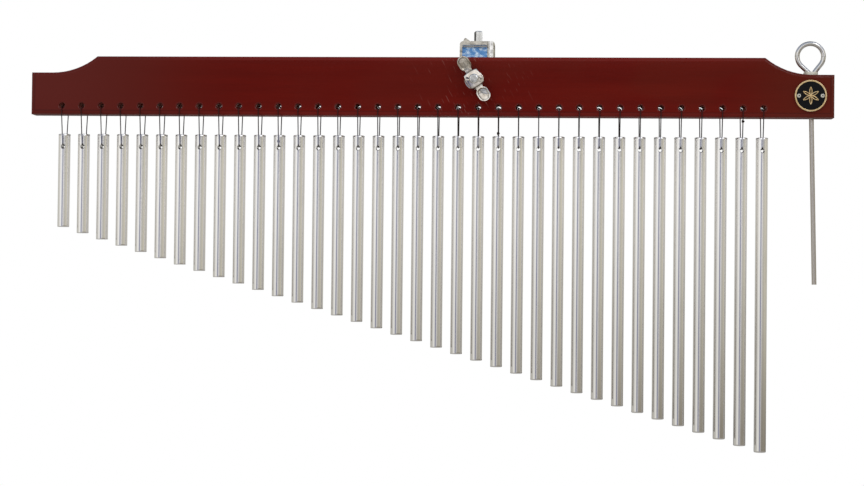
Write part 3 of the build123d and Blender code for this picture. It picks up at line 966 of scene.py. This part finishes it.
def pale_steel():
    finish = Finish("pale_steel")
    x, _, z = finish.axes(finish.place)
    turning = finish.noise(finish.place, (300, 300, 4200), detail=1.0)
    stain = finish.noise(finish.place, (260, 260, 260), detail=3.0)
    colour = finish.mix(stain, STEEL_DULL, STEEL_PALE)
    off_pin = distance(abs(x - badge_centre.x) - PIN_OFFSET, z - badge_centre.z)
    # painted shade in the dimple of each pin head
    dimple_shade = 1 - finish.step(off_pin, *PIN_DIMPLE)
    return finish.surface(
        Base_Color=finish.mix(dimple_shade, colour, DIMPLE_SHADE),
        Metallic=0.4 * (1 - dimple_shade),
        Roughness=0.24 + 0.14 * stain,
        Normal=finish.bump(turning, 0.02 * MM, 0.5),
    )


pale = pale_steel()
eased("beater_ferrule", "turned_ferrule", pale, width=0.3 * MM)

# %% [markdown]
# The badge is a stamped brass disc filled with black enamel and held by the two pins. Brass tarnishes in
# clouds and scratches when it is wiped. Enamel is poured and fired, so its face is glossy and never flat.

# %% Badge
BRASS_DARK = rgb(0.66, 0.46, 0.22)
BRASS_LIGHT = rgb(0.80, 0.62, 0.36)
ENAMEL_BLACK = rgb(0.004, 0.004, 0.005)
ENAMEL_SPECK = rgb(0.012, 0.012, 0.013)


def badge_brass():
    finish = Finish("badge_brass")
    tarnish = finish.noise(finish.place, (320, 320, 320), detail=4.0)
    scratch = finish.noise(finish.place, (2600, 2600, 400), detail=1.0)
    return finish.surface(
        Base_Color=finish.mix(finish.step(tarnish, 0.35, 0.7), BRASS_DARK, BRASS_LIGHT),
        Metallic=1.0,
        Roughness=0.16 + 0.18 * tarnish,
        Normal=finish.bump(scratch, 0.01 * MM, 0.4),
    )


def black_enamel():
    finish = Finish("black_enamel")
    flow = finish.noise(finish.place, (240, 240, 240), detail=2.0)
    specks = finish.noise(finish.place, (2400, 2400, 2400), detail=1.0)
    return finish.surface(
        Base_Color=finish.mix(finish.step(specks, 0.62, 0.8), ENAMEL_BLACK, ENAMEL_SPECK),
        Roughness=0.12 + 0.12 * flow,
        Specular_IOR_Level=0.12,
        Normal=finish.bump(flow, 0.03 * MM, 0.4),
    )


brass = badge_brass()
eased("badge_plate", "stamped_badge", brass, width=0.3 * MM)
eased("badge_field", "enamel_field", black_enamel(), width=0.08 * MM)
eased("badge_pins", "badge_pin_heads", pale, width=0.1 * MM)

# %% [markdown]
# A plain six-petalled rosette decorates the badge, drawn with nothing but one compass setting: each arc is
# struck from a point on the circle and passes through the middle. As a curve with a thin bevel it lies
# half sunk in the enamel, as the raised lines of a stamping do.

# %% Rosette
PETALS = 6
PETAL_RADIUS = 7.2 * MM
PETAL_ARC = 2 * pi / 3
ARC_STEPS = 12
ROSETTE_WIRE = 0.5 * MM
ROSETTE_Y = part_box("badge_field")[0].y + 0.1 * MM


def rosette():
    curve = round_curve("badge_rosette", ROSETTE_WIRE, fineness=2)
    for petal in range(PETALS):
        foot = 2 * pi * (petal + 0.5) / PETALS
        spline = curve.splines.new("POLY")
        spline.points.add(ARC_STEPS)
        for k, point in enumerate(spline.points):
            angle = foot + PETAL_ARC + PETAL_ARC * k / ARC_STEPS
            x = badge_centre.x + PETAL_RADIUS * (cos(foot) + cos(angle))
            z = badge_centre.z + PETAL_RADIUS * (sin(foot) + sin(angle))
            point.co = (x, ROSETTE_Y, z, 1.0)
    return bpy.data.objects.new("badge_rosette", curve)


ornament = rosette()
bpy.context.scene.collection.objects.link(ornament)
ornament.data.materials.append(brass)
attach(ornament, body_of["badge_plate"])
print("rosette of", PETALS, "petals")

# %% [markdown]
# Metal shows the room more than itself, so the room is part of the finish. Upright bars mirror a strip of
# it at their own height, so the walls are a ring of colours by compass bearing: 0 is behind the camera and
# minus is to its left. White panels stand on the left, a dark gap beside the camera and warm grey walls
# round the rest. A colour ramp bent round the horizon is lighter than a modelled room and easier to tune.

# %% Ring of walls
FRONT_RING = [
    (-180, rgb(0.44, 0.43, 0.41)),
    (-150, rgb(0.54, 0.53, 0.50)),
    (-123, rgb(0.57, 0.56, 0.52)),
    (-92, rgb(0.56, 0.55, 0.50)),
    (-69, rgb(0.69, 0.68, 0.64)),
    (-55, rgb(0.88, 0.87, 0.84)),
    (-44, rgb(0.95, 0.95, 0.93)),
    (-34, rgb(0.82, 0.82, 0.81)),
    (-23, rgb(0.60, 0.61, 0.64)),
    (-15, rgb(0.17, 0.18, 0.30)),
    (-8, rgb(0.22, 0.23, 0.34)),
    (-1, rgb(0.74, 0.74, 0.77)),
    (6, rgb(0.74, 0.73, 0.72)),
    (18, rgb(0.60, 0.59, 0.56)),
    (36, rgb(0.51, 0.49, 0.43)),
    (50, rgb(0.54, 0.52, 0.44)),
    (66, rgb(0.61, 0.58, 0.49)),
    (81, rgb(0.61, 0.58, 0.49)),
    (102, rgb(0.55, 0.53, 0.46)),
    (133, rgb(0.57, 0.55, 0.50)),
    (155, rgb(0.54, 0.53, 0.50)),
    (180, rgb(0.44, 0.43, 0.41)),
]
DEGREES = 180 / pi

world = bpy.data.worlds.new("studio")
bpy.context.scene.world = world
world.use_nodes = True
world.cycles.sampling_method = "NONE"
studio = Board(world.node_tree)
x, y, z = studio.axes(studio.node("TexCoord", output="Generated"))
bearing = DEGREES * x.maths("ARCTAN2", -1 * y)
height = DEGREES * z.maths("ARCSINE")
ring_stops = [((angle + 180) / 360, colour) for angle, colour in FRONT_RING]
ring = studio.node("ValToRGB", {"stops": ring_stops}, {0: (bearing + 180) * (1 / 360)})
print("walls:", len(FRONT_RING), "bearings")

# %% [markdown]
# What is rounded or tilted looks higher or lower than the ring, so bands by height lie over the walls: a
# dark gap and a window just above the bars' level, a bright panel over the mantle with shade on either side
# of it, blue haze overhead, a warm dark corner low on the right, shade behind and a grey floor below. Each
# is a soft step in degrees, mixed over what is there already.

# %% Bands above and below
LOW_RIGHT = rgb(0.235, 0.21, 0.17)
GAP_DARK = rgb(0.04, 0.04, 0.045)
WINDOW = rgb(0.8, 0.8, 0.8)
SHADE = rgb(0.06, 0.06, 0.06)
PANEL = rgb(1.15, 1.16, 1.18)
HAZE = rgb(0.46, 0.52, 0.64)
BELOW = rgb(0.44, 0.43, 0.41)
OVER_LOW = (-6.5, -1.0)
ON_RIGHT = (-4.0, 14.0)
OVER_BARS = (5.0, 5.5)
OVER_MANTLE = (7.6, 7.85)
PANEL_MIDDLE = 10
PANEL_SIDE = (38.0, 54.0)
WINDOW_MIDDLE = -38
WINDOW_SIDE = (20.0, 26.0)
OVER_SHADE = (9.0, 11.0)
OVERHEAD = (22.0, 32.0)
LEVEL = (-5.2, -4.2)
BEHIND = (130.0, 155.0)
OVER_FLOOR = (-13.0, -8.0)

over_bars = studio.step(height, *OVER_BARS)
over_mantle = studio.step(height, *OVER_MANTLE)
facing = 1 - studio.step(abs(bearing - PANEL_MIDDLE), *PANEL_SIDE)
low_right = (1 - studio.step(height, *OVER_LOW)) * studio.step(bearing, *ON_RIGHT)
walls = studio.mix(0.9 * low_right, ring, LOW_RIGHT)
walls = studio.mix(over_bars * facing, walls, GAP_DARK)
window = over_bars * (1 - studio.step(abs(bearing - WINDOW_MIDDLE), *WINDOW_SIDE))
walls = studio.mix(window * (1 - over_mantle), walls, WINDOW)
beside = over_mantle * (1 - facing) * (1 - studio.step(height, *OVER_SHADE))
walls = studio.mix(beside, walls, SHADE)
walls = studio.mix(over_mantle * facing, walls, PANEL)
walls = studio.mix(studio.step(height, *OVERHEAD), walls, HAZE)
off_level = over_bars.maths("MAXIMUM", 1 - studio.step(height, *LEVEL))
walls = studio.mix(off_level * studio.step(abs(bearing), *BEHIND), walls, SHADE)
walls = studio.mix(1 - studio.step(height, *OVER_FLOOR), walls, BELOW)
print("studio:", len(world.node_tree.nodes), "nodes")

# %% [markdown]
# Only mirrors see those walls. The Light Path node tells what kind of ray is asking: matt surfaces get one
# even level of light, and past the object the camera itself sees plain white.

# %% Even light and white ground
WHITE = rgb(1.0, 1.0, 1.0)
DIFFUSE_LEVEL = 0.72

is_camera = studio.node("LightPath", output="Is Camera Ray")
is_glossy = studio.node("LightPath", output="Is Glossy Ray")
level = studio.mix(is_glossy, rgb(DIFFUSE_LEVEL, DIFFUSE_LEVEL, DIFFUSE_LEVEL), walls)
level = studio.mix(is_camera, level, WHITE)
studio.node("OutputWorld", sockets={"Surface": studio.node("Background", sockets={"Color": level})})
print("even light at", DIFFUSE_LEVEL)

# %% [markdown]
# Two soft lamps give the room a direction: a strong one high on the left and a weaker one high on the
# right. Their power is set so that, with the even light, a colour renders about as it is written. The left
# one lights the wood but is kept out of reflections, where it would burn a spot into the metal.

# %% Lamps
AIM = Vector((0.0, MID_Y, -0.1))
LAMP_SIDE = 0.5


def soft_lamp(name, place, power):
    data = bpy.data.lights.new(name, "AREA")
    data.shape = "RECTANGLE"
    data.size = data.size_y = LAMP_SIDE
    data.energy = power
    lamp = bpy.data.objects.new(name, data)
    lamp.location = place
    lamp.rotation_euler = (AIM - Vector(place)).to_track_quat("-Z", "Y").to_euler()
    bpy.context.scene.collection.objects.link(lamp)
    print(name, power, "W")
    return lamp


left_lamp = soft_lamp("high_left_lamp", (-0.9, -1.5, 1.0), power=6.0)
left_lamp.visible_glossy = False
soft_lamp("high_right_lamp", (1.0, -1.4, 1.1), power=3.5)

# %% [markdown]
# The chimes hang from a stand, so the floor lies well below them. It is a pale disc that keeps the soft
# shadow and fades into the white around it, so that its edge never shows.

# %% Floor
FLOOR_Z = -1.0
FLOOR_RADIUS = 1.9
FLOOR_SIDES = 96
FLOOR_FADE = (0.7, 0.97 * FLOOR_RADIUS)
FLOOR_PALE = rgb(0.90, 0.90, 0.90)


def floor_disc():
    skin = bmesh.new()
    bmesh.ops.create_circle(skin, cap_ends=True, radius=FLOOR_RADIUS, segments=FLOOR_SIDES)
    mesh = bpy.data.meshes.new("floor")
    skin.to_mesh(mesh)
    skin.free()
    disc = bpy.data.objects.new("floor", mesh)
    disc.location = (0, 0, FLOOR_Z)
    bpy.context.scene.collection.objects.link(disc)
    return disc


def pale_floor():
    finish = Finish("pale_floor")
    x, y, _ = finish.axes(finish.place)
    matt = finish.node("BsdfDiffuse", sockets={"Color": FLOOR_PALE})
    white = finish.node("Emission", sockets={"Color": WHITE, "Strength": 1.0})
    is_seen = finish.node("LightPath", output="Is Camera Ray")
    fade = finish.step(distance(x, y), *FLOOR_FADE) * is_seen
    blend = finish.node("MixShader", sockets={0: fade, 1: matt, 2: white})
    finish.node("OutputMaterial", sockets={"Surface": blend})
    return finish.material


floor = floor_disc()
floor.data.materials.append(pale_floor())
floor.visible_glossy = False
print("floor", FLOOR_RADIUS, "m in radius at", FLOOR_Z, "m")

# %% [markdown]
# The standard view shows a colour as it was mixed.

# %% Standard view
bpy.context.scene.view_settings.view_transform = "Standard"
